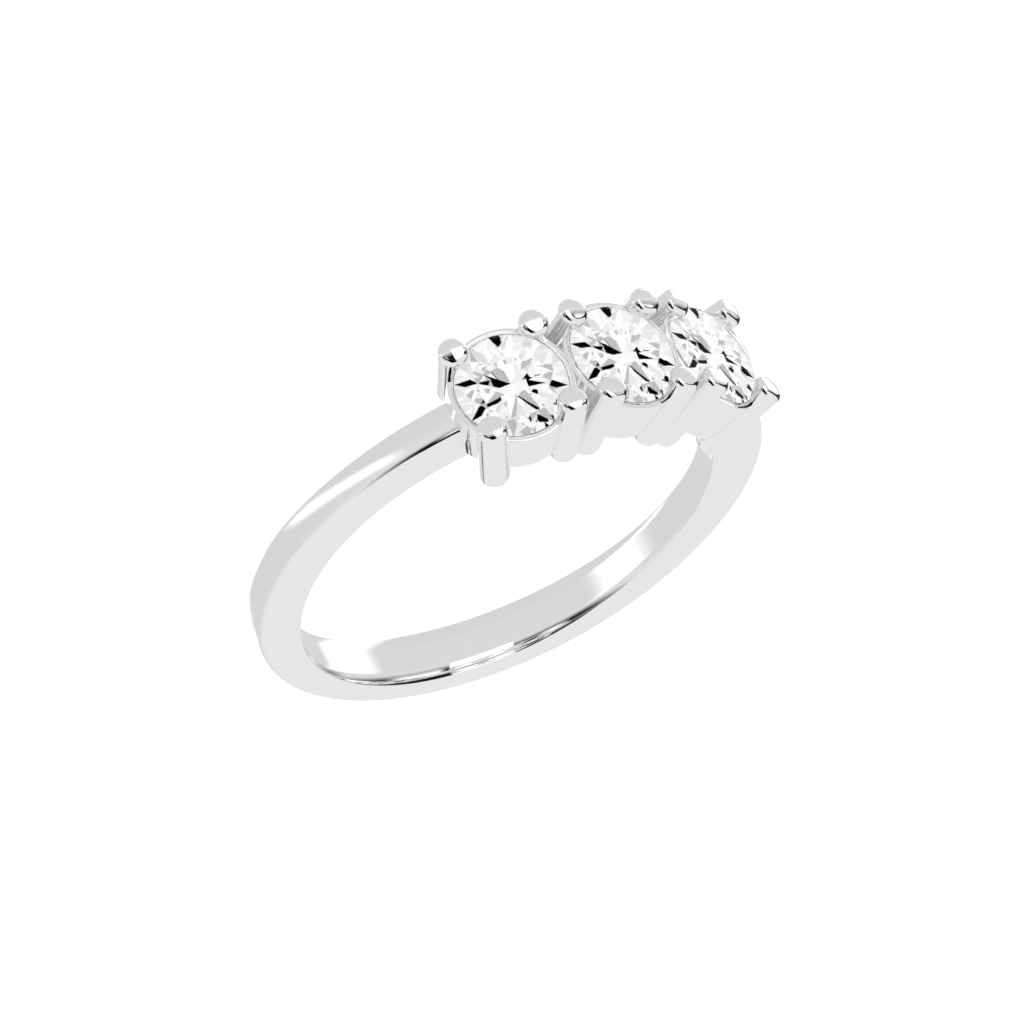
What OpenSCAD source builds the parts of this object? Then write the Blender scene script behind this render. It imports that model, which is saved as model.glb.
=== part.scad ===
// Three stone ring, lying on its side. Lengths are in millimetres and +Z is up.
// The stones point along -Y, the finger axis stands almost upright, and the ring
// touches the floor with its palm side and with the lowest posts of the outer heads.

/* [Finger] */
// Diameter of the finger hole
finger_d = 17.2; // [15:0.1:20]
// Width of the straight part of the finger hole
land_w = 1; // [0.7:0.05:1.2]
// Radius that rounds the finger hole out to the sides
comfort_r = 1.8; // [1.4:0.1:3]

/* [Band] */
// Thickness of the band on the palm side
palm_t = 1.45; // [1.2:0.05:1.8]
// Thickness of the band where it meets the heads
shoulder_t = 2.35; // [2:0.05:2.6]
// Width of the band on the palm side
palm_w = 2.24; // [2:0.02:2.8]
// Width of the band at its waist, next to the heads
waist_w = 1.31; // [1.2:0.01:1.6]
// Distance from the finger axis to the waist
waist_y = 5.1; // [4:0.1:6]
// Radius of the outer face across the band
crown_r = 6.5; // [5:0.5:9]
// Radius of the two outer edges on the palm side
edge_r = 0.67; // [0.5:0.01:0.8]

/* [Stones] */
// Diameter of each stone
stone_d = 4.5; // [4.2:0.05:4.7]
// Thickness of the girdle
girdle_t = 0.13; // [0.08:0.01:0.2]
// Width of the table as a share of the diameter
table_share = 0.57; // [0.52:0.01:0.64]
// Slope of the main crown facets in degrees
crown_slope = 34.5; // [32:0.5:36]
// Slope of the main pavilion facets in degrees
pavilion_slope = 40.75; // [40:0.25:42]
// Gap between a stone and its seat
stone_gap = 0.03; // [0.02:0.01:0.05]

/* [Heads] */
// How deep the rims of two neighbouring heads run into each other
head_merge = 0.16; // [0.1:0.01:0.3]
// How many degrees the outer heads turn back toward the middle one
head_swing = 1.8; // [0:0.2:3]
// Width of the rim around a stone
rim_w = 0.2; // [0.15:0.01:0.3]
// Thickness of a collar wall
collar_t = 0.5; // [0.4:0.05:0.6]
// Thickness of the band left under the stones
bridge_t = 0.6; // [0.5:0.05:0.7]
// Gap between the point of a stone and the band under it
point_gap = 0.2; // [0.15:0.01:0.3]
// Height of the lower edges of the collars above the finger hole
collar_foot = 0.75; // [0.7:0.01:0.9]

/* [Posts] */
// Diameter of a post
post_d = 1.2; // [1.1:0.05:1.3]
// Distance between two tips along the row
tip_span_x = 3.34; // [3.2:0.02:3.5]
// Distance between two tips across the row
tip_span_y = 3.6; // [3.5:0.02:3.8]
// Height above the girdle at which the rounding of the tips begins
tip_h = 0.53; // [0.45:0.01:0.6]
// Radius that rounds the edge of a tip
tip_edge_r = 0.22; // [0.15:0.01:0.3]
// Radius of the low dome on a tip
dome_r = 2.05; // [1.5:0.05:3]
// Distance between two post ends along the row
end_span_x = 2.86; // [2.7:0.02:3]
// Distance between two post ends across the row
end_span_y = 3.92; // [3.7:0.02:4]
// How far the centres of the post ends lie below the collars
end_drop = 0.47; // [0.3:0.01:0.6]
// Gap between the post ends and a finger that fills the hole
post_gap = 0.05; // [0.03:0.01:0.1]

/* [Hidden] */
$fn = 180;
metal_colour = "gainsboro";
stone_colour = "aliceblue";
// Main facets round a stone, and how far its lower halves reach in toward the point
facets = 8;
lower_reach = 0.23;
// Straight steps of the girdle along each half
rim_steps = 4;
// Straight pieces in each tapered side
side_steps = 8;
// How far before the corner's centre the taper ends, so that the palm edge stays whole
side_stop = edge_r / 4;
// How far a cutting form reaches past what it cuts
past = palm_t;

finger_r = finger_d / 2;
stone_r = stone_d / 2;
post_r = post_d / 2;

// The outer face turns about an axis set off from the finger axis toward the stones
outer_r = finger_r + (palm_t + shoulder_t) / 2;
outer_off = (shoulder_t - palm_t) / 2;

// Centre of an outer edge's rounding, which touches the crown and the side
edge_z = palm_w / 2 - edge_r;
crown_x = outer_r - crown_r;
edge_x = crown_x + sqrt(pow(crown_r - edge_r, 2) - edge_z * edge_z);

// Each side is hollowed lengthwise by a long arc from the waist to the palm
side_end_y = edge_x - outer_off - side_stop;
side_sag = (palm_w - waist_w) / 2;
side_run = side_end_y + waist_y;
side_r = (side_run * side_run + side_sag * side_sag) / (2 * side_sag);

// The point of a stone stays clear of the bridge, which sets the distance of the girdles
// from the finger axis, and the collars stand side by side round the finger
point_h = girdle_t / 2 + stone_r * tan(pavilion_slope);
cup_h = point_h + point_gap;
seat_r = finger_r + bridge_t + cup_h;
collar_r = stone_r + rim_w;
cup_r = collar_r - collar_t;
collar_h = seat_r - finger_r - collar_foot;
end_h = collar_h + end_drop;
head_step = 2 * asin((collar_r - head_merge / 2) / seat_r);
head_lean = head_step - head_swing;
crown_h = (1 - table_share) * stone_r * tan(crown_slope);
half_turn = 180 / facets;
chord_r = stone_r * cos(half_turn / 2);
crown_reach = stone_r * (table_share * cos(half_turn) + 1) / 2;

// Lying pose: the ends of the lowest posts and the palm edge share the floor
low_end_x = end_span_x / 2;
low_end_y = seat_r * cos(head_step) - end_h * cos(head_lean) - low_end_x * sin(head_lean);
low_end_z = end_span_y / 2;
palm_y = edge_x - outer_off;
rest_run = palm_y + low_end_y;
rest_rise = low_end_z - edge_z;
rest_tilt = atan2(rest_rise, rest_run)
    + asin((post_r - edge_r) / norm([rest_run, rest_rise]));
rest_h = palm_y * sin(rest_tilt) + edge_z * cos(rest_tilt) + edge_r;

// How far the centre of a tip's dome lies below the tip, and where that is for one post
dome_drop = sqrt(pow(dome_r - tip_edge_r, 2) - pow(post_r - tip_edge_r, 2));
post_run = [tip_span_x - end_span_x, tip_span_y - end_span_y, 2 * (tip_h + end_h)] / 2;
dome_y = tip_span_y / 2 - post_run.y / norm(post_run) * dome_drop;
dome_z = tip_h - post_run.z / norm(post_run) * dome_drop;

// The origin is under the middle of the box that holds the ring
front_y = (seat_r + dome_z) * cos(rest_tilt) + dome_y * sin(rest_tilt) + dome_r;
back_y = (crown_x - outer_off) * cos(rest_tilt) + crown_r;
origin_y = (front_y - back_y) / 2;

// Half the width of the band at a distance y from the finger axis
function half_w(y) = waist_w / 2 + side_r - sqrt(side_r * side_r - pow(y + waist_y, 2));

// Everything inside the outer face, with its two edges rounded on the palm side
module outer_form() {
    rotate_extrude()
        intersection() {
            translate([crown_x, 0]) circle(r = crown_r);
            union() {
                translate([crown_x, -palm_w / 2]) square([edge_x - crown_x, palm_w]);
                translate([edge_x, edge_z]) circle(r = edge_r);
                translate([edge_x, -edge_z]) circle(r = edge_r);
                translate([edge_x, -edge_z]) square([crown_r, 2 * edge_z]);
            }
        }
}

// Everything outside the finger hole, with a rounding at both mouths
module finger_form() {
    mouth_x = finger_r + comfort_r;
    mouth_z = land_w / 2;
    rotate_extrude()
        union() {
            translate([finger_r, -mouth_z]) square([shoulder_t + past, land_w]);
            translate([mouth_x, mouth_z]) circle(r = comfort_r);
            translate([mouth_x, -mouth_z]) circle(r = comfort_r);
            translate([mouth_x, -mouth_z - comfort_r])
                square([shoulder_t + past, land_w + 2 * comfort_r]);
        }
}

// The hollow taper of both sides, open past its end at the palm
module side_form() {
    far = outer_r + outer_off + past;
    ys = [for (i = [0 : side_steps]) -far + (side_end_y + far) * i / side_steps];
    edge = concat([for (y = ys) [half_w(y), y]], [[palm_w, side_end_y], [palm_w, far]]);
    back = [for (i = [len(edge) - 1 : -1 : 0]) [-edge[i].x, edge[i].y]];
    rotate([0, 90, 0])
        linear_extrude(height = 2 * far, center = true)
            polygon(concat(edge, back));
}

module band() {
    intersection() {
        translate([0, -outer_off, 0]) outer_form();
        finger_form();
        side_form();
    }
}

// Puts a head or a stone, built along +Z round its girdle, in its place on the ring
module at_head(k) {
    rotate([0, 0, k * head_step])
        translate([0, -seat_r, 0])
            rotate([0, 0, -k * head_swing])
                rotate([90, 0, 0])
                    children();
}

// One post: its lower end is half a ball, and its tip a low dome with a rounded edge
module post(side_x, side_y) {
    tip = [side_x * tip_span_x / 2, side_y * tip_span_y / 2, tip_h];
    end = [side_x * end_span_x / 2, side_y * end_span_y / 2, -end_h];
    run = tip - end;
    length = norm(run);
    translate(end)
        rotate([0, acos(run.z / length), atan2(run.y, run.x)])
            rotate_extrude() {
                square([post_r, length]);
                intersection() {
                    circle(r = post_r);
                    translate([0, -post_r]) square([post_r, post_d]);
                }
                translate([post_r - tip_edge_r, length]) circle(r = tip_edge_r);
                translate([0, length - dome_drop])
                    intersection() {
                        circle(r = dome_r);
                        polygon([[0, 0], [2 * (post_r - tip_edge_r), 2 * dome_drop],
                                 [0, 2 * dome_drop]]);
                    }
            }
}

// A collar under a stone, with its four posts
module head() {
    translate([0, 0, -collar_h]) cylinder(r = collar_r, h = collar_h - girdle_t / 2);
    for (side_x = [-1, 1])
        for (side_y = [-1, 1])
            post(side_x, side_y);
}

// Where two main facets and two halves of one side meet, above the girdle
function meet_h(slope, reach) = (stone_r - reach * cos(half_turn)) * tan(slope);

// The room for a stone: its outline turned about its axis, with the gap around it
module seat() {
    r = stone_r + stone_gap;
    z = girdle_t / 2 + stone_gap;
    rotate_extrude()
        polygon([[0, -z - r * tan(pavilion_slope)], [r, -z], [r, z],
                 [crown_reach + stone_gap, z + meet_h(crown_slope, crown_reach)],
                 [r * table_share, z + r * (1 - table_share) * tan(crown_slope)],
                 [0, z + r * (1 - table_share) * tan(crown_slope)]]);
}

// The open inside of a collar, down to the part of the band that bridges it
module cup() {
    translate([0, 0, -cup_h]) cylinder(r = cup_r, h = cup_h - girdle_t);
}

// The heads side by side, reamed through so that no post end reaches the finger
module head_row() {
    difference() {
        for (k = [-1 : 1]) at_head(k) head();
        cylinder(r = finger_r + post_gap, h = 2 * finger_r, center = true);
    }
}

module mounting() {
    color(metal_colour)
        lay()
            difference() {
                union() {
                    band();
                    head_row();
                }
                for (k = [-1 : 1]) at_head(k) seat();
                for (k = [-1 : 1]) at_head(k) cup();
            }
}

// The rise of the halves of one side, for each step in from the girdle
function half_rise(slope, reach) =
    meet_h(slope, reach) / (chord_r - reach * cos(half_turn / 2));

// How far the flat halves of one side dip into the girdle at step j round it
function dip(j, slope, reach) =
    (stone_r * cos(half_turn * ((j % rim_steps) / rim_steps - 0.5)) - chord_r)
    * half_rise(slope, reach);

function polar(r, angle, z) = [r * cos(angle), r * sin(angle), z];

// A round brilliant about its girdle, with the table up. Every facet is flat, and the
// main facets lie on either side of the posts and of the row.
module brilliant() {
    point_reach = stone_r * lower_reach;
    rim_z = girdle_t / 2;
    rim_n = 2 * facets * rim_steps;
    table = [for (k = [0 : facets - 1])
        polar(stone_r * table_share, 2 * k * half_turn, rim_z + crown_h)];
    crown = [for (k = [0 : facets - 1])
        polar(crown_reach, (2 * k + 1) * half_turn, rim_z + meet_h(crown_slope, crown_reach))];
    rim_top = [for (j = [0 : rim_n - 1])
        polar(stone_r, j * half_turn / rim_steps, rim_z - dip(j, crown_slope, crown_reach))];
    rim_low = [for (j = [0 : rim_n - 1])
        polar(stone_r, j * half_turn / rim_steps, dip(j, pavilion_slope, point_reach) - rim_z)];
    lower = [for (k = [0 : facets - 1])
        polar(point_reach, (2 * k + 1) * half_turn, -rim_z - meet_h(pavilion_slope, point_reach))];
    culet = [0, 0, -point_h];

    // The first point of each ring in the list of points
    c0 = facets;
    t0 = c0 + facets;
    b0 = t0 + rim_n;
    l0 = b0 + rim_n;
    p0 = l0 + facets;
    last = facets - 1;
    polyhedron(
        points = concat(table, crown, rim_top, rim_low, lower, [culet]),
        faces = concat(
            [[for (k = [last : -1 : 0]) k]],
            [for (k = [0 : last]) [(k + 1) % facets, c0 + k, k]],
            [for (k = [0 : last]) [c0 + k, t0 + 2 * k * rim_steps, c0 + (k + last) % facets, k]],
            [for (h = [0 : 2 * facets - 1]) concat([c0 + floor(h / 2)],
                [for (j = [rim_steps : -1 : 0]) t0 + (h * rim_steps + j) % rim_n])],
            [for (j = [0 : rim_n - 1]) [t0 + j, t0 + (j + 1) % rim_n, b0 + (j + 1) % rim_n, b0 + j]],
            [for (h = [0 : 2 * facets - 1]) concat(
                [for (j = [0 : rim_steps]) b0 + (h * rim_steps + j) % rim_n], [l0 + floor(h / 2)])],
            [for (k = [0 : last]) [p0, l0 + (k + last) % facets, b0 + 2 * k * rim_steps, l0 + k]]));
}

// Lays the ring on its side
module lay() {
    translate([0, origin_y, rest_h])
        rotate([-rest_tilt, 0, 0])
            children();
}

module stone(k) {
    color(stone_colour)
        lay()
            at_head(k)
                rotate([0, 0, half_turn])
                    brilliant();
}

module stone_left() {
    stone(1);
}

module stone_centre() {
    stone(0);
}

module stone_right() {
    stone(-1);
}

mounting();
stone_left();
stone_centre();
stone_right();
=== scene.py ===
import bpy
import numpy as np
from mathutils import Matrix


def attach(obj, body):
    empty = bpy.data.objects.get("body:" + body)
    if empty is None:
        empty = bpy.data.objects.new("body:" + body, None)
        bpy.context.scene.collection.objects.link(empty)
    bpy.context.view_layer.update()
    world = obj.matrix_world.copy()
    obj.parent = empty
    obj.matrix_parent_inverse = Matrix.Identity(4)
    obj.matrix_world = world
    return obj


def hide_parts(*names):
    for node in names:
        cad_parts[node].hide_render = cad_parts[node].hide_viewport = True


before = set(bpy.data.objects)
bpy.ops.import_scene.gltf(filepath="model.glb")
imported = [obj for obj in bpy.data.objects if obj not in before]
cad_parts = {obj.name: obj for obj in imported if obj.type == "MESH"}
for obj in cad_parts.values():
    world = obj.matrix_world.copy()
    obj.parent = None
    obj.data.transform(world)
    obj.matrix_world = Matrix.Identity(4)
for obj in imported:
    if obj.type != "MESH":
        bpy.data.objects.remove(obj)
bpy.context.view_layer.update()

# Sizes of the ring as in the CAD part, in millimetres and radians
FINGER_R = 8.6                      # radius of the finger hole
LAND_W = 1.0                        # width of its straight part
COMFORT_R = 1.8                     # radius that rounds it out to the sides
PALM_T = 1.45                       # thickness of the band on the palm side
SHOULDER_T = 2.35                   # and where it meets the heads
PALM_W = 2.24                       # width of the band on the palm side
WAIST_W = 1.31                      # and at its waist, next to the heads
WAIST_Y = 5.1                       # distance from the finger axis to the waist
CROWN_R = 6.5                       # radius of the outer face across the band
EDGE_R = 0.67                       # radius of the two outer edges on the palm side
STONE_R = 2.25                      # radius of each stone
GIRDLE_T = 0.13                     # thickness of the girdle
CROWN_SLOPE = np.radians(34.5)      # slope of the main crown facets
PAVILION_SLOPE = np.radians(40.75)  # slope of the main pavilion facets
TABLE_SHARE = 0.57                  # width of the table as a share of the diameter
STAR_REACH = 0.5                    # how far the stars reach from the table to the girdle
LOWER_REACH = 0.23                  # share of the radius to which the lower halves reach in
STONE_GAP = 0.03                    # gap between a stone and its seat
RIM_W = 0.2                         # width of the rim around a stone
COLLAR_T = 0.5                      # thickness of a collar wall
BRIDGE_T = 0.6                      # thickness of the band left under the stones
POINT_GAP = 0.2                     # gap between the point of a stone and the band under it
COLLAR_FOOT = 0.75                  # height of the collars' lower edges above the finger hole
HEAD_MERGE = 0.16                   # how deep the rims of two neighbours run into each other
HEAD_SWING = np.radians(1.8)        # how far the outer heads turn back toward the middle one
POST_R = 0.6                        # radius of a post
TIP = np.array([3.34 / 2, 3.6 / 2, 0.53])  # where the rounding of a tip begins, in its head
TIP_EDGE_R = 0.22                   # radius that rounds the edge of a tip
DOME_R = 2.05                       # radius of the low dome on a tip
END_XY = np.array([2.86 / 2, 3.92 / 2])    # where a post ends, along and across the row
END_DROP = 0.47                     # how far the centres of the post ends lie below the collars
POST_GAP = 0.05                     # gap between the post ends and a finger that fills the hole
HEADS = (-1, 0, 1)                  # their steps round the finger, -1 the photograph's right one

OUTER_R = FINGER_R + (PALM_T + SHOULDER_T) / 2
OUTER_OFF = (SHOULDER_T - PALM_T) / 2
EDGE_Z = PALM_W / 2 - EDGE_R
CROWN_X = OUTER_R - CROWN_R
EDGE_X = CROWN_X + np.sqrt((CROWN_R - EDGE_R) ** 2 - EDGE_Z ** 2)
EDGE_TILT = np.arcsin(EDGE_Z / (CROWN_R - EDGE_R))
SIDE_END = EDGE_X - OUTER_OFF - EDGE_R / 4
SIDE_SAG = (PALM_W - WAIST_W) / 2
SIDE_R = ((SIDE_END + WAIST_Y) ** 2 + SIDE_SAG ** 2) / (2 * SIDE_SAG)
HALF_TURN = np.pi / 8
CROWN_REACH = STONE_R * (TABLE_SHARE * np.cos(HALF_TURN) + 1) / 2
CROWN_RISE = (STONE_R - CROWN_REACH * np.cos(HALF_TURN)) * np.tan(CROWN_SLOPE)
SEAT_SLOPE = np.arctan(CROWN_RISE / (STONE_R - CROWN_REACH))
POINT_H = GIRDLE_T / 2 + STONE_R * np.tan(PAVILION_SLOPE)
CUP_H = POINT_H + POINT_GAP
SEAT_R = FINGER_R + BRIDGE_T + CUP_H
COLLAR_R = STONE_R + RIM_W
CUP_R = COLLAR_R - COLLAR_T
COLLAR_H = SEAT_R - FINGER_R - COLLAR_FOOT
END = np.array([END_XY[0], END_XY[1], -(COLLAR_H + END_DROP)])
HEAD_STEP = 2 * np.arcsin((COLLAR_R - HEAD_MERGE / 2) / SEAT_R)
HEAD_LEAN = HEAD_STEP - HEAD_SWING

# The lying pose: the palm edge and the ends of the two lowest posts share the floor
LOW_Y = SEAT_R * np.cos(HEAD_STEP) + END[2] * np.cos(HEAD_LEAN) - END[0] * np.sin(HEAD_LEAN)
REST_RUN = EDGE_X - OUTER_OFF + LOW_Y
REST_RISE = END[1] - EDGE_Z
REST_REACH = np.hypot(REST_RUN, REST_RISE)
REST_TILT = np.arctan2(REST_RISE, REST_RUN) + np.arcsin((POST_R - EDGE_R) / REST_REACH)
REST_H = (EDGE_X - OUTER_OFF) * np.sin(REST_TILT) + EDGE_Z * np.cos(REST_TILT) + EDGE_R
DOME_DROP = np.sqrt((DOME_R - TIP_EDGE_R) ** 2 - (POST_R - TIP_EDGE_R) ** 2)
DOME = TIP - (TIP - END) / np.linalg.norm(TIP - END) * DOME_DROP
FRONT_Y = (SEAT_R + DOME[2]) * np.cos(REST_TILT) + DOME[1] * np.sin(REST_TILT) + DOME_R
BACK_Y = (CROWN_X - OUTER_OFF) * np.cos(REST_TILT) + CROWN_R
ORIGIN_Y = (FRONT_Y - BACK_Y) / 2

# What the polished surfaces have beyond the CAD part, in millimetres
BAND_EASE = 0.022    # easing of the band's crisp edges
COLLAR_EASE = 0.028  # how far the collars' edges are cut back
WORN_EDGE_R = 0.27   # the tips as polished: a hair rounder at the edge than in the CAD
WORN_DOME_R = 2.4    # and their low dome
WALL_SINK = 0.02     # how far behind a collar's inside wall other parts of the metal end
CUP_ROOM = 0.3       # how far above and below a cup it is kept free of them
SPLIT_GAP = 0.004    # between the two halves of a stone

# How finely the surfaces are divided
BAND_STEPS = 440     # sections of the band in a full turn
ARC_POINTS = 200     # points on each of the five stretches of half a section, as drawn
EVEN_POINTS = 1400   # points of a whole section while it is eased
LAND_PLACES, SIDE_PLACES, OUTER_PLACES = 20, 8, 22  # places kept on the even stretches
CORNER_PLACES = np.array([0.006, 0.018, 0.033, 0.05, 0.07, 0.1])  # on each side of a corner, in mm
CORNER_REACH = 0.12  # half a corner's stretch, in mm
COLLAR_STEPS = 160
POST_STEPS = 64
# The halves of a stone: side of the split, steps round, rings on the split, rings on the facets
# The lower half carries the stone's painted light, and the upper one is the clear crown.
HALVES = {"painted_half": (-1, 480, 110, 50), "crown": (1, 320, 2, 48)}

# Slack for angles and slopes, and for lengths in millimetres. Both also keep divisors off zero.
TINY = 1e-9
SMALL = 1e-6

# The band's floor under the cups ends inside the walls of the outer collars
FLOOR_END = COLLAR_T * 0.4  # this far into the wall
FLOOR_DEPTH = 1.2           # and measured this far below the girdle
FLOOR_STEP = 0.0006         # angle between the two sections at each of its ends


# Places: from a head to the ring, and from the ring to the floor
def turn_z(angle):
    """The matrix that turns a row of points by an angle about the Z axis."""
    c, s = np.cos(angle), np.sin(angle)
    return np.array([[c, s, 0], [-s, c, 0], [0, 0, 1]])


def turn_x(angle):
    """The matrix that turns a row of points by an angle about the X axis."""
    c, s = np.cos(angle), np.sin(angle)
    return np.array([[1, 0, 0], [0, c, s], [0, -s, c]])


def head_to_ring(points, k):
    """Head k stands up at -Y, leans by k times the lean, and its girdle's centre
    lies at the seat distance, k steps round the finger axis."""
    place = np.array([0, -SEAT_R, 0]) @ turn_z(k * HEAD_STEP)
    return points @ turn_x(np.pi / 2) @ turn_z(k * HEAD_LEAN) + place


def ring_to_head(points, k):
    """The inverse of head_to_ring."""
    place = np.array([0, -SEAT_R, 0]) @ turn_z(k * HEAD_STEP)
    return (points - place) @ turn_z(-k * HEAD_LEAN) @ turn_x(-np.pi / 2)


def ring_to_floor(points):
    """Leans the finger axis by the resting tilt, lifts the ring onto the floor, and gives metres."""
    return (points @ turn_x(-REST_TILT) + np.array([0, ORIGIN_Y, REST_H])) * 0.001


# Faces and pieces
def closed_grid(rows, cols):
    """Quads of a grid of points whose rows and columns both close on themselves."""
    i, j = np.meshgrid(np.arange(rows), np.arange(cols), indexing="ij")
    i2, j2 = (i + 1) % rows, (j + 1) % cols
    return np.stack([i * cols + j, i2 * cols + j, i2 * cols + j2, i * cols + j2], -1).reshape(-1, 4)


def turned_grid(rows, cols):
    """Faces of a profile of rows points carried round an axis in cols steps. The first and
    the last point lie on the axis, so each is one point with a fan of triangles."""
    i, j = np.meshgrid(np.arange(rows - 3), np.arange(cols), indexing="ij")
    j2 = (j + 1) % cols
    quads = np.stack([i * cols + j, i * cols + j2, (i + 1) * cols + j2, (i + 1) * cols + j], -1)
    c, c2 = np.arange(cols), (np.arange(cols) + 1) % cols
    top = (rows - 2) * cols + 1
    first = np.stack([0 * c, c2 + 1, c + 1], -1)
    last = np.stack([0 * c + top, top - cols + c, top - cols + c2], -1)
    return quads.reshape(-1, 4) + 1, np.concatenate([first, last])


def joined(parts):
    """Points and faces of several parts as one. A part is its points and its arrays of faces."""
    points, faces, start = [], [], 0
    for part, *groups in parts:
        points.append(part)
        faces += [face for group in groups for face in (group + start).tolist()]
        start += len(part)
    return np.concatenate(points), faces


def add_piece(name, node, points, faces, slot, smooth=True):
    """Makes a piece of metres from points in millimetres on the ring, in place of a CAD node."""
    mesh = bpy.data.meshes.new(name)
    mesh.from_pydata(ring_to_floor(points).tolist(), [], faces)
    mesh.polygons.foreach_set("use_smooth", np.full(len(mesh.polygons), smooth))
    mesh.validate()
    mesh.update()
    piece = bpy.data.objects.new(name, mesh)
    bpy.context.scene.collection.objects.link(piece)
    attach(piece, "root")
    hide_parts(node)
    return piece


# The band
def side_half_width(y):
    """Half the band's width: half the waist plus the rise of an arc of radius SIDE_R over the
    distance from the waist, held from SIDE_END on."""
    run = np.minimum(y, SIDE_END) + WAIST_Y
    return WAIST_W / 2 + SIDE_R - np.sqrt(SIDE_R ** 2 - run ** 2)


def outer_distance(theta, rho):
    """Distance from the finger axis of a circle of radius rho whose centre lies OUTER_OFF from
    that axis toward the stones: off cos(theta) + sqrt(rho^2 - off^2 sin^2(theta))."""
    return OUTER_OFF * np.cos(theta) + np.sqrt(rho ** 2 - (OUTER_OFF * np.sin(theta)) ** 2)


def outside_at(theta, z):
    """Distance of the band's outside from the finger axis at a height: that of the crown arc up
    to where the edge arc takes over."""
    crown = CROWN_X + np.sqrt(CROWN_R ** 2 - np.minimum(z, CROWN_R) ** 2)
    corner = EDGE_X + np.sqrt(np.maximum(EDGE_R ** 2 - np.maximum(z - EDGE_Z, 0) ** 2, 0))
    return outer_distance(theta, np.where(z < CROWN_R * np.sin(EDGE_TILT), crown, corner))


def band_angles():
    """Angles of the band's sections, with a pair at each end of the stretch under the cups, and
    the angle at which that stretch ends."""
    edge = HEAD_STEP + np.arcsin((CUP_R + FLOOR_END) / (SEAT_R - FLOOR_DEPTH))
    step = 2 * np.pi / BAND_STEPS
    arc = np.arange(edge + step / 2, 2 * np.pi - edge - step / 4, step)
    under = np.arange(-edge + step, edge - step / 2, step)
    close = [2 * np.pi - edge - FLOOR_STEP]
    return np.concatenate([[-edge], under, [edge, edge + FLOOR_STEP], arc, close]), edge


def cup_floor(theta, edge):
    """Distance from the finger axis of the flat floors of the cups, each in a plane across its
    head's axis: (centre . axis - CUP_H) / (toward . axis). Past the cups it has no end."""
    toward = np.stack([np.sin(theta), -np.cos(theta), 0 * theta], -1)
    floor = np.full_like(theta, np.inf)
    for k in HEADS:
        axis = np.array([0, 0, 1.0]) @ turn_x(np.pi / 2) @ turn_z(k * HEAD_LEAN)
        centre = head_to_ring(np.zeros((1, 3)), k)[0]
        near = k * theta > HEAD_STEP / 2 if k else np.abs(theta) <= HEAD_STEP / 2
        near = near & (np.abs(theta) <= edge + TINY)
        floor = np.where(near, (centre @ axis - CUP_H) / (toward @ axis), floor)
    return floor


def side_ends(theta, floor):
    """Distance and height of the inner and the outer end of the band's side. Each is found by
    going forty times between its two curves: a height gives a distance, and that distance a new
    height."""
    z_in = z_out = np.full_like(theta, 0.8)  # the search can start from any height on the side
    for _ in range(40):
        drop = COMFORT_R ** 2 - np.maximum(z_in - LAND_W / 2, 0) ** 2
        r_in = FINGER_R + COMFORT_R - np.sqrt(drop)
        z_in = side_half_width(-r_in * np.cos(theta))
        r_out = np.minimum(outside_at(theta, z_out), floor)
        z_out = side_half_width(-r_out * np.cos(theta))
    return r_in, z_in, r_out, z_out


def half_sections(theta, floor):
    """Distances and heights along half of each section, from the middle of the inside: a straight
    land, the comfort arc, the tapered side, the edge arc and the crown arc."""
    r_in, z_in, r_out, z_out = (end[:, None] for end in side_ends(theta, floor))
    th = theta[:, None]
    t = np.linspace(0, 1, ARC_POINTS, endpoint=False)[None, :]
    land = (FINGER_R + 0 * th * t, LAND_W / 2 * t + 0 * th)
    a = np.arcsin((z_in - LAND_W / 2) / COMFORT_R) * t
    comfort = (FINGER_R + COMFORT_R * (1 - np.cos(a)), LAND_W / 2 + COMFORT_R * np.sin(a))
    r = r_in + (r_out - r_in) * t
    side = (r, side_half_width(-r * np.cos(th)))
    first = np.arcsin(np.clip((z_out - EDGE_Z) / EDGE_R, -1, 1))
    b = first + (EDGE_TILT - first) * t
    corner = (outer_distance(th, EDGE_X + EDGE_R * np.cos(b)), EDGE_Z + EDGE_R * np.sin(b))
    b = EDGE_TILT * (1 - t) + 0 * th
    crown = (outer_distance(th, CROWN_X + CROWN_R * np.cos(b)), CROWN_R * np.sin(b))
    r, z = (np.concatenate(runs, 1) for runs in zip(land, comfort, side, corner, crown))
    return np.minimum(r, floor[:, None]), z


def closed_sections(theta, floor):
    """The sections as closed loops of distance and height, each half mirrored in Z."""
    r, z = half_sections(theta, floor)
    th = theta[:, None]
    middle = np.minimum(outside_at(th, 0 * th), floor[:, None])
    loop_r = np.concatenate([r, middle, r[:, :0:-1]], 1)
    loop_z = np.concatenate([z, 0 * th, -z[:, :0:-1]], 1)
    return np.stack([loop_r, loop_z], -1)


def eased_sections(loop):
    """The loops taken at even steps and averaged along themselves with a Gaussian weight of width
    BAND_EASE, whose Fourier transform is exp(-2 (pi width frequency)^2). Gives the distance round
    each loop at its points as well."""
    step = np.linalg.norm(np.roll(loop, -1, 1) - loop, axis=2)
    along = np.concatenate([np.zeros((len(loop), 1)), np.cumsum(step, 1)], 1)
    closed = np.concatenate([loop, loop[:, :1]], 1)
    even = along[:, -1:] * np.arange(EVEN_POINTS) / EVEN_POINTS
    smooth = np.array([[np.interp(e, s, c[:, 0]), np.interp(e, s, c[:, 1])]
                       for e, s, c in zip(even, along, closed)])
    ease = BAND_EASE / (along[:, -1] / EVEN_POINTS)[:, None, None]
    weight = np.exp(-2 * (np.pi * ease * np.fft.rfftfreq(EVEN_POINTS)) ** 2)
    return np.fft.irfft(np.fft.rfft(smooth, axis=2) * weight, n=EVEN_POINTS, axis=2), along


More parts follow.
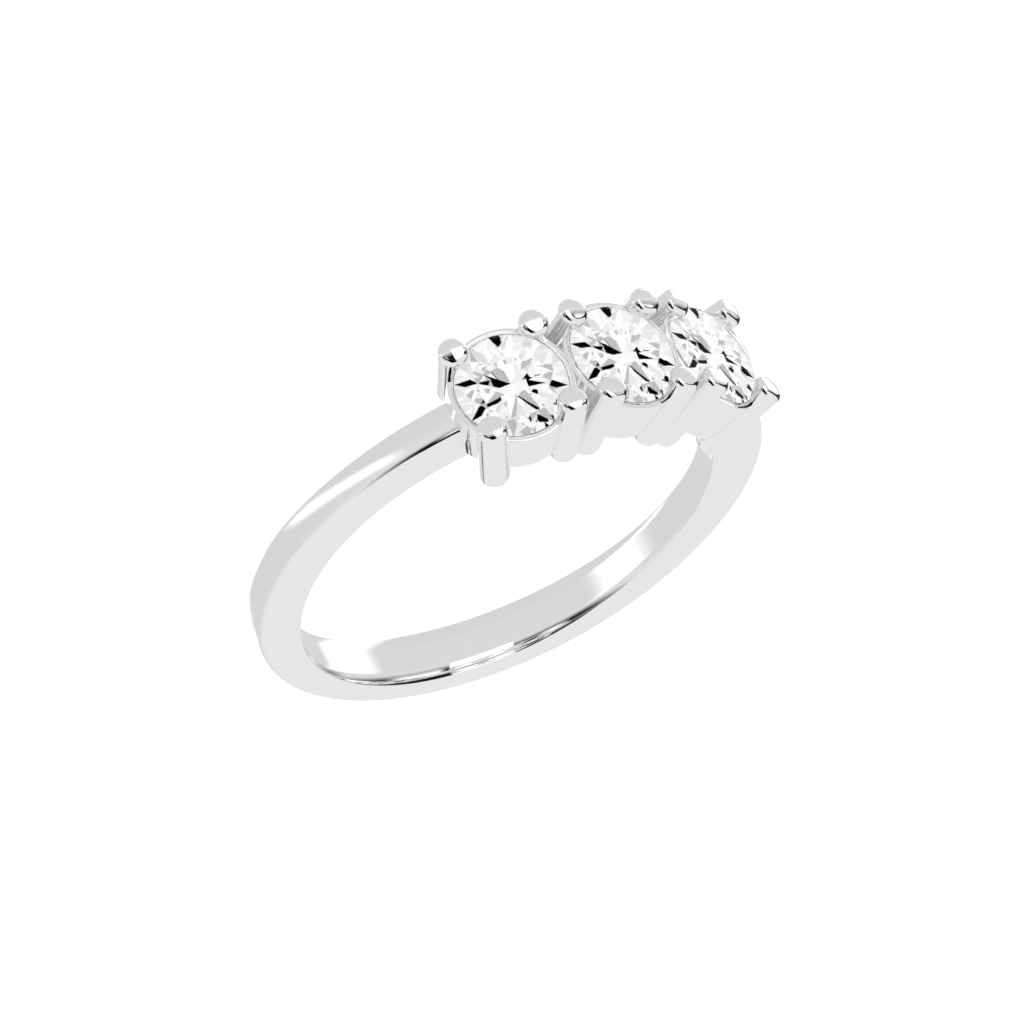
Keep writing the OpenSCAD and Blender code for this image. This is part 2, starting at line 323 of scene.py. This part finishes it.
def section_places(along):
    """Distances round each section at which its points are kept: close together at the two
    corners, even elsewhere, and the second half mirrored."""
    inner, outer, middle = (along[:, n * ARC_POINTS:n * ARC_POINTS + 1] for n in (2, 3, 5))
    near = np.concatenate([-CORNER_PLACES[::-1], CORNER_PLACES])
    even_in, even_side, even_out = (np.linspace(0, 1, n)[None, :]
                                    for n in (LAND_PLACES, SIDE_PLACES, OUTER_PLACES))
    half = np.concatenate([
        (inner - CORNER_REACH) * even_in,
        inner + near,
        inner + CORNER_REACH + (outer - inner - 2 * CORNER_REACH) * even_side,
        outer + near,
        outer + CORNER_REACH + (middle - outer - CORNER_REACH) * even_out,
    ], 1)
    return np.concatenate([half, (2 * middle - half)[:, -2:0:-1]], 1)


def band_points():
    """The band as eased sections carried round the finger, in rows of one section each. Between
    two even steps a place is read in proportion."""
    theta, edge = band_angles()
    smooth, along = eased_sections(closed_sections(theta, cup_floor(theta, edge)))
    places = section_places(along) / along[:, -1:] * EVEN_POINTS
    low = np.floor(places).astype(int)
    part = places - low
    below, above = low % EVEN_POINTS, (low + 1) % EVEN_POINTS
    r, z = (np.take_along_axis(smooth[:, n], below, 1) * (1 - part)
            + np.take_along_axis(smooth[:, n], above, 1) * part for n in (0, 1))
    th = theta[:, None]
    return np.stack([r * np.sin(th), -r * np.cos(th), z], -1)


def make_band():
    """The band as one piece."""
    grid = band_points()
    faces = closed_grid(*grid.shape[:2])[:, ::-1].tolist()
    return add_piece("band", "mounting", grid.reshape(-1, 3), faces, "white_gold")


# The heads
def clear_cups(points, own):
    """Moves what reaches into the open inside of any collar but its own out to just behind that
    collar's wall, straight away from the collar's axis."""
    wall = CUP_R + WALL_SINK
    for k in HEADS:
        if k == own:
            continue
        p = ring_to_head(points, k)
        rho = np.hypot(p[:, 0], p[:, 1])
        inside = (rho < wall) & (p[:, 2] > -CUP_H - CUP_ROOM) & (p[:, 2] < CUP_ROOM)
        p[:, :2] *= np.where(inside, wall / np.maximum(rho, SMALL), 1)[:, None]
        points = head_to_ring(p, k)
    return points


def clear_stone(p):
    """Moves the points of a head that lie in its stone's room to the nearest of the room's three
    walls: the cone of the crown's halves, the girdle's cylinder and the pavilion's cone."""
    r, z = STONE_R + STONE_GAP, GIRDLE_T / 2 + STONE_GAP
    rho = np.maximum(np.hypot(p[:, 0], p[:, 1]), SMALL)
    up = (z + (r - rho) * np.tan(SEAT_SLOPE) - p[:, 2]) * np.cos(SEAT_SLOPE)
    out = r - rho
    low = (p[:, 2] + z + (r - rho) * np.tan(PAVILION_SLOPE)) * np.cos(PAVILION_SLOPE)
    walls = np.stack([up, out, low])
    move = (walls > 0).all(0) & (walls.argmin(0) == np.arange(3)[:, None])
    up, out, low = np.where(move, walls, 0)
    new_rho = rho + up * np.sin(SEAT_SLOPE) + out + low * np.sin(PAVILION_SLOPE)
    new_z = p[:, 2] + up * np.cos(SEAT_SLOPE) - low * np.cos(PAVILION_SLOPE)
    return np.stack([p[:, 0] * new_rho / rho, p[:, 1] * new_rho / rho, new_z], -1)


def eased_ring(corners, ease, steps=5):
    """A closed outline through the corners, each one cut back and turned by a quadratic curve:
    the mean of its two cut points and the corner, weighted by (1-t)^2, 2t(1-t) and t^2."""
    before, after = np.roll(corners, 1, 0), np.roll(corners, -1, 0)
    a = corners + (before - corners) * (ease / np.linalg.norm(before - corners, axis=1))[:, None]
    b = corners + (after - corners) * (ease / np.linalg.norm(after - corners, axis=1))[:, None]
    a, middle, b = a[:, None], corners[:, None], b[:, None]
    t = np.linspace(0, 1, steps)[None, :, None]
    return (a * (1 - t) ** 2 + middle * 2 * t * (1 - t) + b * t ** 2).reshape(-1, 2)


def collar_points():
    """A collar's wall as a closed outline turned round the head's axis: outer wall, rim, the
    seat's slope, the inside and the lower edge."""
    top = -GIRDLE_T / 2
    seat_r, seat_z = STONE_R + STONE_GAP, top - STONE_GAP
    cup_z = seat_z - (seat_r - CUP_R) * np.tan(PAVILION_SLOPE)
    corners = np.array([
        [COLLAR_R, -COLLAR_H], [COLLAR_R, -COLLAR_H / 2], [COLLAR_R, top], [seat_r, top],
        [seat_r, seat_z], [CUP_R, cup_z], [CUP_R, -COLLAR_H / 2], [CUP_R, -COLLAR_H],
    ])
    outline = eased_ring(corners, COLLAR_EASE)
    r, z = outline[None, :, 0], outline[None, :, 1]
    turn = np.linspace(0, 2 * np.pi, COLLAR_STEPS, endpoint=False)[:, None]
    return np.stack([r * np.cos(turn), r * np.sin(turn), z + 0 * turn], -1)


def make_collars():
    """The three collars as one piece."""
    grid = collar_points()
    quads = closed_grid(*grid.shape[:2])
    parts = [(clear_cups(head_to_ring(grid.reshape(-1, 3), k), k), quads) for k in HEADS]
    return add_piece("collars", "mounting", *joined(parts), "white_gold")


def post_points(side_x, side_y, cap=20, body=40):
    """A post: a line from the lower end to the tip, with a circle of POST_R round it. The lower end
    is half a ball: its ring at an angle u has radius r cos(u) and height r sin(u). The tip is a
    low dome of WORN_DOME_R up to the angle at which its edge rounding of WORN_EDGE_R takes over. It
    starts as much lower as it is higher than the CAD's, so that both reach equally far."""
    tip, end = TIP * [side_x, side_y, 1], END * [side_x, side_y, 1]
    run = tip - end
    length = np.linalg.norm(run)
    w = run / length
    u = np.cross([0, 1.0, 0], w)
    u /= np.linalg.norm(u)
    v = np.cross(w, u)
    low = np.linspace(-np.pi / 2, 0, cap)
    meet = np.arcsin((POST_R - WORN_EDGE_R) / (WORN_DOME_R - WORN_EDGE_R))
    drop = (WORN_DOME_R - WORN_EDGE_R) * np.cos(meet)
    start = length + (DOME_R - DOME_DROP) - (WORN_DOME_R - drop)
    edge, dome = np.linspace(np.pi / 2, meet, 2 * cap), np.linspace(meet, 0, cap)[1:]
    h = np.concatenate([POST_R * np.sin(low), start * np.linspace(0, 1, body)[1:-1],
                        start + WORN_EDGE_R * np.cos(edge), start - drop + WORN_DOME_R * np.cos(dome)])
    r = np.concatenate([POST_R * np.cos(low), np.full(body - 2, POST_R),
                        POST_R - WORN_EDGE_R + WORN_EDGE_R * np.sin(edge), WORN_DOME_R * np.sin(dome)])
    turn = np.linspace(0, 2 * np.pi, POST_STEPS, endpoint=False)
    ring = np.cos(turn)[None, :, None] * u + np.sin(turn)[None, :, None] * v
    grid = (end + h[1:-1, None, None] * w + r[1:-1, None, None] * ring).reshape(-1, 3)
    return np.concatenate([[end - POST_R * w], grid, [end + h[-1] * w]]), len(h)


def make_posts():
    """The twelve posts as one piece, kept out of the stones' room, the cups and the finger hole."""
    parts = []
    for k in HEADS:
        for side_x in (-1, 1):
            for side_y in (-1, 1):
                local, rows = post_points(side_x, side_y)
                points = clear_cups(head_to_ring(clear_stone(local), k), None)
                rho = np.hypot(points[:, 0], points[:, 1])
                points[:, :2] *= np.maximum((FINGER_R + POST_GAP) / rho, 1)[:, None]
                parts.append((points, *turned_grid(rows, POST_STEPS)))
    return add_piece("posts", "mounting", *joined(parts), "white_gold")


# The stones
# The stones' brightness is painted light: it is traced through the facets under a studio of cards,
# then painted into each stone's lower half as a colour that also glows.
DIAMOND_IOR = 2.417
# The picture's cut: table share, crown and pavilion slopes, reach of the stars and of the lower halves
SEEN_CUT = (0.608, np.radians(37.5), np.radians(41.74), 0.4, 0.264)
SEEN_LEAN = np.array([1.37, -8.65])        # how far its eye leans off the stone's axis, in degrees
BELOW_VIEW = np.array([0.05, 0.08, -1.0])  # toward the eye of the picture from below
PICTURE_AT = np.array([0.037, 0.056])      # the picture's middle on the plane of the girdle
PICTURE_R = 2.19                           # and half its side
ABOVE_CELLS, BELOW_CELLS = 300, 160        # cells along the sides of the two pictures
LINE_IN, LINE_OUT = 0.99, 1.01             # shares of its half side between which a line of painted shade runs
# brightness of that line of painted shade, and the painted brightness of the girdle round it
LINE_SHADE = 0.3
GIRDLE_SHADE = 0.93
RIM_PLANES = 32                            # upright planes that stand for the girdle in the tracing
BOUNCES = 7                                # facets that a ray meets inside before it is let out
STUDIO_WHITE = 0.91                        # brightness round the stones
WEAVE = 0.2                                # and how far it rises and falls with the direction
# Broad cards in the studio round the stones, grey and black, as a jeweller's photographer sets them:
# azimuth, angle from the stone's axis, angular radius, brightness. A later card covers an earlier one.
CARDS = [
    (-90, 50, 10, 0.5), (45, 45, 10, 0.5), (-155, 10, 10, 0.5), (95, 15, 10, 0.5),
    (145, 30, 10, 0.0), (-15, 30, 9, 0.0), (55, 25, 7, 0.0), (100, 45, 7, 0.0),
    (-145, 70, 8, 0.0), (30, 85, 8, 0.0), (-80, 115, 7, 0.0), (-30, 75, 7, 0.0),
]


def brilliant_facets(table, crown, pavilion, star, lower):
    """Unit normals and distances from the centre of a brilliant's flat facets: the table, crown
    mains, stars and upper halves, then pavilion mains and lower halves. A facet through three
    corners has the cross product of two of its sides as its normal."""
    girdle = GIRDLE_T / 2
    main = (2 * np.arange(8) + 1) * HALF_TURN
    middle = main + HALF_TURN

    def ring(r, angle, z):
        return np.stack([r * np.cos(angle), r * np.sin(angle), z + 0 * angle], -1)

    inner = STONE_R * table * np.cos(HALF_TURN)
    reach = inner + (STONE_R - inner) * star
    depth = STONE_R * (1 - lower * np.cos(HALF_TURN)) * np.tan(pavilion)
    top = ring(STONE_R * table, main, girdle + (1 - table) * STONE_R * np.tan(crown))
    high = ring(reach, middle, girdle + (STONE_R - reach * np.cos(HALF_TURN)) * np.tan(crown))
    low = ring(STONE_R * lower, middle, -girdle - depth)
    sets = [(top[:1], top[1:2], top[2:3]), (high, top, np.roll(top, -1, 0))]
    for rim, vertex in ((girdle, high), (-girdle, low)):
        at_main, at_middle = ring(STONE_R, main, rim), ring(STONE_R, middle, rim)
        sets += [(at_main, vertex, np.roll(vertex, 1, 0)), (vertex, at_main, at_middle),
                 (vertex, at_middle, np.roll(at_main, -1, 0))]
    a, b, c = (np.concatenate(corners) for corners in zip(*sets))
    normal = np.cross(b - a, c - a)
    normal /= np.linalg.norm(normal, axis=1)[:, None]
    away = (normal * a).sum(1)
    return normal * np.sign(away)[:, None], np.abs(away)


def stone_light(direction):
    """Brightness of the studio round a stone: white that rises and falls with the sines of the
    direction, and cards of a given angular size and brightness at a given azimuth and angle from
    the stone's axis."""
    wave = np.sin(17 * direction[:, 0] + 1) * np.cos(13 * direction[:, 1])
    light = STUDIO_WHITE + WEAVE * wave
    for azimuth, lean, size, shade in CARDS:
        a, b = np.radians(azimuth), np.radians(lean)
        card = np.array([np.cos(a) * np.sin(b), np.sin(a) * np.sin(b), np.cos(b)])
        light = np.where(direction @ card > np.cos(np.radians(size)), shade, light)
    return light


def look_into(start, view, facets):
    """Brightness seen on looking into a stone along one direction. A ray bends at the first facet
    by Snell's law and is mirrored from facet to facet for as long as each one reflects all of it.
    At the first one that does not, it leaves and brings in the light from where it points."""
    normal, away = facets
    rim = np.arange(RIM_PLANES) * 2 * np.pi / RIM_PLANES
    normal = np.concatenate([normal, np.stack([np.cos(rim), np.sin(rim), 0 * rim], -1)])
    away = np.concatenate([away, np.full(RIM_PLANES, STONE_R)])
    view = view / np.linalg.norm(view)
    slope = -view @ normal.T
    place = start + 4 * STONE_R * view  # well outside the stone
    run = np.where(slope < -TINY, (away - place @ normal.T) / np.minimum(slope, -TINY), -np.inf)
    first = run.argmax(1)
    place = place - run.max(1)[:, None] * view
    cosine = (normal @ view)[first]
    bend = cosine / DIAMOND_IOR - np.sqrt(1 - (1 - cosine ** 2) / DIAMOND_IOR ** 2)
    ray = -view / DIAMOND_IOR + bend[:, None] * normal[first]
    seen = np.zeros(len(start))
    inside = np.arange(len(start))
    for step in range(BOUNCES):
        slope = ray @ normal.T
        run = np.where(slope > TINY, (away - place @ normal.T) / np.maximum(slope, TINY), np.inf)
        run = np.where(run > -SMALL, run, np.inf)
        near = run.argmin(1)
        place = place + run.min(1)[:, None] * ray
        cosine = (ray * normal[near]).sum(1)
        across = 1 - DIAMOND_IOR ** 2 * (1 - cosine ** 2)
        leaves = (across > 0) | (step == BOUNCES - 1)
        bend = np.sqrt(np.maximum(across, 0)) - DIAMOND_IOR * cosine
        out = DIAMOND_IOR * ray + bend[:, None] * normal[near]
        out /= np.linalg.norm(out, axis=1)[:, None]
        seen[inside[leaves]] = stone_light(out[leaves])
        ray = ray - 2 * cosine[:, None] * normal[near]
        inside, place, ray = inside[~leaves], place[~leaves], ray[~leaves]
    return seen


def stone_picture(view, facets, size):
    """The look into a stone on a square of places in the plane of its girdle, each the mean of
    four rays, as rows along Y of columns along X. It is traced in twelve parts to save memory."""
    side = (np.arange(2 * size) + 0.5) / size - 1
    x, y = np.meshgrid(side * STONE_R, side * STONE_R)
    start = np.stack([x.ravel(), y.ravel(), 0 * x.ravel()], -1)
    seen = np.concatenate([look_into(part, view, facets) for part in np.array_split(start, 12)])
    return seen.reshape(size, 2, size, 2).mean((1, 3))


def read_picture(picture, places):
    """The picture's painted brightness at places given as shares of its half side, blended from the
    four nearest cells. Round it lies a thin line of painted shade, and then the painted white of the
    girdle."""
    size = len(picture)
    u, v = np.clip((places.T + 1) / 2 * size - 0.5, 0, size - 1.001)
    i, j = u.astype(int), v.astype(int)
    u, v = u - i, v - j
    near = picture[j, i] * (1 - u) + picture[j, i + 1] * u
    far = picture[j + 1, i] * (1 - u) + picture[j + 1, i + 1] * u
    out = np.hypot(places[:, 0], places[:, 1])
    rim = np.where(out < LINE_OUT, LINE_SHADE, GIRDLE_SHADE)
    return np.where(out < LINE_IN, near * (1 - v) + far * v, rim)


def stone_half(facets, side, cols, split_rings, facet_rings):
    """One half of a stone that is split level through its girdle, as rings about its axis from its
    lowest point to its highest. The half above (side 1) has the flat split below its crown, and
    the half below (side -1) has it above its pavilion. A height on the crown is the lowest of the
    facets' planes there, and on the pavilion the highest: (distance - normal . place) / normal z."""
    normal, away = facets
    n, d = normal[side * normal[:, 2] > 0], away[side * normal[:, 2] > 0]
    turn = np.linspace(0, 2 * np.pi, cols, endpoint=False)

    def rings(count):
        radii = STONE_R * np.linspace(0, 1, count + 1)[:, None]
        return radii * np.cos(turn), radii * np.sin(turn)

    x, y = rings(split_rings)
    split = np.stack([x, y, side * SPLIT_GAP / 2 + 0 * x], -1)
    x, y = rings(facet_rings)
    z = (d - x[..., None] * n[:, 0] - y[..., None] * n[:, 1]) / n[:, 2]
    cut = np.stack([x, y, z.min(-1) if side > 0 else z.max(-1)], -1)
    grid = np.concatenate([split, cut[::-1]] if side > 0 else [cut, split[::-1]])
    return np.concatenate([grid[:1, 0], grid[1:-1].reshape(-1, 3), grid[-1:, 0]]), len(grid)


def make_half(node, half, k, facets):
    """Half a stone as a piece in head k, and its points as they are in the stone. It is left out
    of mirror images, because in the band it makes specks."""
    side, cols, split_rings, facet_rings = HALVES[half]
    points, rows = stone_half(facets, side, cols, split_rings, facet_rings)
    placed, faces = joined([(head_to_ring(points, k), *turned_grid(rows, cols))])
    piece = add_piece(node + "_" + half, node, placed, faces, "diamond", smooth=False)
    piece.visible_glossy = False
    return piece, points


def make_stone(node, k, above, below, facets):
    """One stone in head k. Its lower half carries painted light: the light that the stone returns,
    painted as the face-up picture on its flat top, in the plane of the girdle, and as the picture from
    below on its pavilion, both as colour and as glow. Its upper half is the clear crown."""
    painted_half, points = make_half(node, "painted_half", k, facets)
    place = points[:, :2]
    shade = np.where(points[:, 2] > -SPLIT_GAP, read_picture(above, (place - PICTURE_AT) / PICTURE_R),
                     read_picture(below, place / STONE_R))
    # The traced light is painted into this colour attribute of the lower half.
    look = painted_half.data.attributes.new("painted_light", "FLOAT_COLOR", "POINT")
    look.data.foreach_set("color", np.stack([shade, shade, shade, 1 + 0 * shade], -1).ravel())
    crown, _ = make_half(node, "crown", k, facets)
    return painted_half, crown


def make_stones():
    """The three stones, which in the photograph show one and the same picture at three slants."""
    facets = brilliant_facets(TABLE_SHARE, CROWN_SLOPE, PAVILION_SLOPE, STAR_REACH, LOWER_REACH)
    above_view = np.array([*np.tan(np.radians(SEEN_LEAN)), 1.0])
    above = stone_picture(above_view, brilliant_facets(*SEEN_CUT), ABOVE_CELLS)
    below = stone_picture(BELOW_VIEW, facets, BELOW_CELLS)
    return [make_stone(node, k, above, below, facets)
            for node, k in (("stone_left", 1), ("stone_centre", 0), ("stone_right", -1))]


# Finishes
def new_look(name):
    """A node material with its tree and its shader."""
    look = bpy.data.materials.new(name)
    look.use_nodes = True
    return look, look.node_tree, look.node_tree.nodes["Principled BSDF"]


def fine_noise(tree, scale, detail=2):
    """Noise on the piece's own coordinates, with so many waves in a metre."""
    place = tree.nodes.new("ShaderNodeTexCoord")
    noise = tree.nodes.new("ShaderNodeTexNoise")
    noise.inputs["Scale"].default_value = scale
    noise.inputs["Detail"].default_value = detail
    tree.links.new(place.outputs["Object"], noise.inputs["Vector"])
    return noise.outputs["Fac"]


def spread(tree, value, low, high):
    """A value between 0 and 1 brought between low and high."""
    node = tree.nodes.new("ShaderNodeMapRange")
    node.inputs["To Min"].default_value = low
    node.inputs["To Max"].default_value = high
    tree.links.new(value, node.inputs["Value"])
    return node.outputs["Result"]


def polished_metal():
    """White gold, mirror polished: its slight roughness varies with fine noise."""
    look, tree, shader = new_look("polished_white_gold")
    shader.inputs["Base Color"].default_value = (0.93, 0.93, 0.93, 1)
    shader.inputs["Metallic"].default_value = 1
    grain = fine_noise(tree, scale=1800, detail=3)
    tree.links.new(spread(tree, grain, 0.03, 0.06), shader.inputs["Roughness"])
    return look


def diamond_painted_light():
    """The painted light of a lit brilliant: the stone's traced light, painted as the piece's colour
    and as a glow, with a very faint cloud of noise in the whites and in the polish."""
    look, tree, shader = new_look("diamond_painted_light")
    shader.inputs["IOR"].default_value = DIAMOND_IOR
    shader.inputs["Specular IOR Level"].default_value = 0.0
    # The painted light is used both as colour and as glow, at this strength.
    shader.inputs["Emission Strength"].default_value = 0.52
    painted_light = tree.nodes.new("ShaderNodeAttribute")
    painted_light.attribute_name = "painted_light"
    cloud = fine_noise(tree, scale=2600)
    lit = tree.nodes.new("ShaderNodeVectorMath")
    lit.operation = "SCALE"
    tree.links.new(painted_light.outputs["Color"], lit.inputs[0])
    tree.links.new(spread(tree, cloud, 0.94, 1.0), lit.inputs["Scale"])
    tree.links.new(lit.outputs["Vector"], shader.inputs["Base Color"])
    tree.links.new(lit.outputs["Vector"], shader.inputs["Emission Color"])
    tree.links.new(spread(tree, cloud, 0.02, 0.05), shader.inputs["Roughness"])
    return look


def clear_crown():
    """The clear upper half of a stone. It hardly bends what is seen through it, because the painted
    picture under it already holds the stone's own bending. Its tint and polish vary with fine noise."""
    look, tree, shader = new_look("clear_crown")
    shader.inputs["IOR"].default_value = 1.05
    shader.inputs["Transmission Weight"].default_value = 1.0
    cloud = fine_noise(tree, scale=2600)
    tree.links.new(spread(tree, cloud, 0.985, 1.0), shader.inputs["Base Color"])
    tree.links.new(spread(tree, cloud, 0.0, 0.02), shader.inputs["Roughness"])
    return look


metal, painted_look, clear = polished_metal(), diamond_painted_light(), clear_crown()
for piece in (make_band(), make_collars(), make_posts()):
    piece.data.materials.append(metal)
# The lower halves carry the painted light, and the crowns are clear.
for painted_half, crown in make_stones():
    painted_half.data.materials.append(painted_look)
    crown.data.materials.append(clear)


# Floor, light and camera
FLOOR_HALF = 2.0         # half the floor's side, in metres
SKY_SHADE = 0.715        # brightness of the studio below the horizon
SKY_RISE = 0.135         # and how much brighter it is above it
HORIZON = (-26, -5)      # degrees of height between which it brightens
CAMERA_SIDE = -50.0      # azimuth of the camera, from which the panels' azimuths are counted
# Panels and dark cloths of the studio: azimuth from, to, soft widths there, height from, to,
# soft widths there, rise of both heights per degree of azimuth, brightness
PANELS = [
    (-160, 34, (8, 20), -10.5, 15, 6, 3, 0, 0.012),     # dark wall
    (-161, -128, (3, 8), -18, 15, 7, 3, 0, 0.05),       # its lower end, away from the camera
    (-88, -60, (7, 3), -8, 1, 4, 3, 0, 1.1),            # lamp in the dark wall
    (-55.5, -21.5, (0.6, 0.6), -16.5, 14, 1.5, 2, 0, 1.3),  # window
    (-6, 5, (4, 5), -6, 2, 3, 5, 0, 1.2),               # second lamp
    (25, 88, (8, 10), -22, -17, 2, 2, -0.25, 1.25),     # slanting light on the left
    (-138, -101, (8, 8), -55, -20, 8, 1.5, 0, 1.3),     # white cloth on the floor, far right
    (125, 175, (10, 10), -60, -38, 8, 2, 0.3, 1.25),    # white cloth on the floor, far left
    (-20, 20, (5, 5), 10, 48, 5, 5, 0, 0.0),            # the dark round the camera
]
# The camera as found from the photograph, against the ring's own axes: its turn as a rotation
# vector, its shift and distance in millimetres, and pixels for a millimetre there
CAMERA_TURN = np.array([2.4547, -0.395, 0.7186])
CAMERA_SHIFT = (-0.4693, 0.6421)
CAMERA_REACH = 1000.0
CAMERA_SCALE = 26.364015
PHOTO_SIDE = 1024        # in pixels
SENSOR = 36              # in millimetres


def make_floor():
    """A white floor that glows, so that it is as bright as the photograph's ground. It is left out
    of what the metal mirrors and of what the stones let through."""
    mesh = bpy.data.meshes.new("floor")
    s = FLOOR_HALF
    mesh.from_pydata([(-s, -s, 0), (s, -s, 0), (s, s, 0), (-s, s, 0)], [], [(0, 1, 2, 3)])
    floor = bpy.data.objects.new("floor", mesh)
    bpy.context.scene.collection.objects.link(floor)
    look, _, shader = new_look("pale_floor")
    shader.inputs["Base Color"].default_value = (0.9, 0.9, 0.9, 1)
    shader.inputs["Roughness"].default_value = 0.9
    shader.inputs["Specular IOR Level"].default_value = 0
    shader.inputs["Emission Color"].default_value = (1, 1, 1, 1)
    shader.inputs["Emission Strength"].default_value = 0.62
    mesh.materials.append(look)
    floor.visible_glossy = False
    floor.visible_transmission = False


def make_light():
    """A white studio seen by direction: an azimuth in degrees to the side of the camera and a height
    above the horizon. Each panel lies between two azimuths and two heights, its rims fade over a
    soft width, and its shade replaces what is behind it."""
    world = bpy.data.worlds.new("studio")
    world.use_nodes = True
    n, link = world.node_tree.nodes, world.node_tree.links.new

    def calc(kind, a, b=None, c=None):
        """The result of one kind of sum on sockets or plain numbers."""
        node = n.new("ShaderNodeMath")
        node.operation = kind
        for socket, value in zip(node.inputs, (a, b, c)):
            if hasattr(value, "is_linked"):
                link(value, socket)
            elif value is not None:
                socket.default_value = value
        return node.outputs[0]

    def fade(value, start, stop):
        """Smoothly from 0 where the value is start to 1 where it is stop."""
        node = n.new("ShaderNodeMapRange")
        node.interpolation_type = "SMOOTHSTEP"
        node.inputs["From Min"].default_value = start
        node.inputs["From Max"].default_value = stop
        link(value, node.inputs["Value"])
        return node.outputs["Result"]

    direction = n.new("ShaderNodeTexCoord")
    turned = n.new("ShaderNodeMapping")
    turned.inputs["Rotation"].default_value = (0, 0, np.radians(-CAMERA_SIDE))
    split = n.new("ShaderNodeSeparateXYZ")
    link(direction.outputs["Generated"], turned.inputs["Vector"])
    link(turned.outputs["Vector"], split.inputs["Vector"])
    side = calc("MULTIPLY", calc("ARCTAN2", split.outputs["Y"], split.outputs["X"]), np.degrees(1))
    height = calc("MULTIPLY", calc("ARCSINE", split.outputs["Z"]), np.degrees(1))
    shade = calc("MULTIPLY_ADD", fade(height, *HORIZON), SKY_RISE, SKY_SHADE)
    for side_0, side_1, soft_side, low, high, soft_low, soft_high, slope, value in PANELS:
        level = calc("MULTIPLY_ADD", calc("SUBTRACT", side, side_0), -slope, height)
        left = fade(side, side_0 - soft_side[0], side_0 + soft_side[0])
        right = fade(side, side_1 + soft_side[1], side_1 - soft_side[1])
        foot = fade(level, low - soft_low, low + soft_low)
        top = fade(level, high + soft_high, high - soft_high)
        cover = calc("MULTIPLY", calc("MULTIPLY", left, right), calc("MULTIPLY", foot, top))
        behind = calc("MULTIPLY", shade, calc("SUBTRACT", 1, cover))
        shade = calc("ADD", behind, calc("MULTIPLY", cover, value))
    seen = n.new("ShaderNodeLightPath")
    shade = calc("MAXIMUM", shade, seen.outputs["Is Camera Ray"])
    link(shade, n["Background"].inputs["Color"])
    bpy.context.scene.world = world


def camera_on_ring():
    """The camera's place and axes on the ring as the CAD lays it flat. Its turn becomes a matrix
    by Rodrigues' formula, and the ring's own axes (the row of stones along X, the finger axis
    along Y, the middle stone along Z) become those of the flat ring."""
    angle = np.linalg.norm(CAMERA_TURN)
    a = CAMERA_TURN / angle
    cross = np.array([[0, -a[2], a[1]], [a[2], 0, -a[0]], [-a[1], a[0], 0]])
    turn = np.eye(3) + np.sin(angle) * cross + (1 - np.cos(angle)) * cross @ cross
    flat = np.array([[-1, 0, 0], [0, 0, -1], [0, -1, 0]])
    eye = flat @ (-turn.T @ np.array([*CAMERA_SHIFT, CAMERA_REACH]))
    return eye, flat @ turn.T @ np.diag([1, -1, -1])


def make_camera():
    """The photograph's camera, against the ring as it lies on the floor."""
    eye, axes = camera_on_ring()
    data = bpy.data.cameras.new("camera")
    data.sensor_width = SENSOR
    data.lens = SENSOR * CAMERA_REACH * CAMERA_SCALE / PHOTO_SIDE
    data.clip_start, data.clip_end = 0.05, 10
    camera = bpy.data.objects.new("camera", data)
    place = np.eye(4)
    place[:3, :3] = turn_x(-REST_TILT).T @ axes
    place[:3, 3] = ring_to_floor(eye[None])[0]
    camera.matrix_world = Matrix(place.tolist())
    bpy.context.scene.collection.objects.link(camera)
    bpy.context.scene.camera = camera


make_floor()
make_light()
make_camera()
scene = bpy.context.scene
scene.view_settings.view_transform = "Standard"
scene.cycles.max_bounces = 24
scene.cycles.glossy_bounces = 12
scene.cycles.transmission_bounces = 24
scene.cycles.use_denoising = True
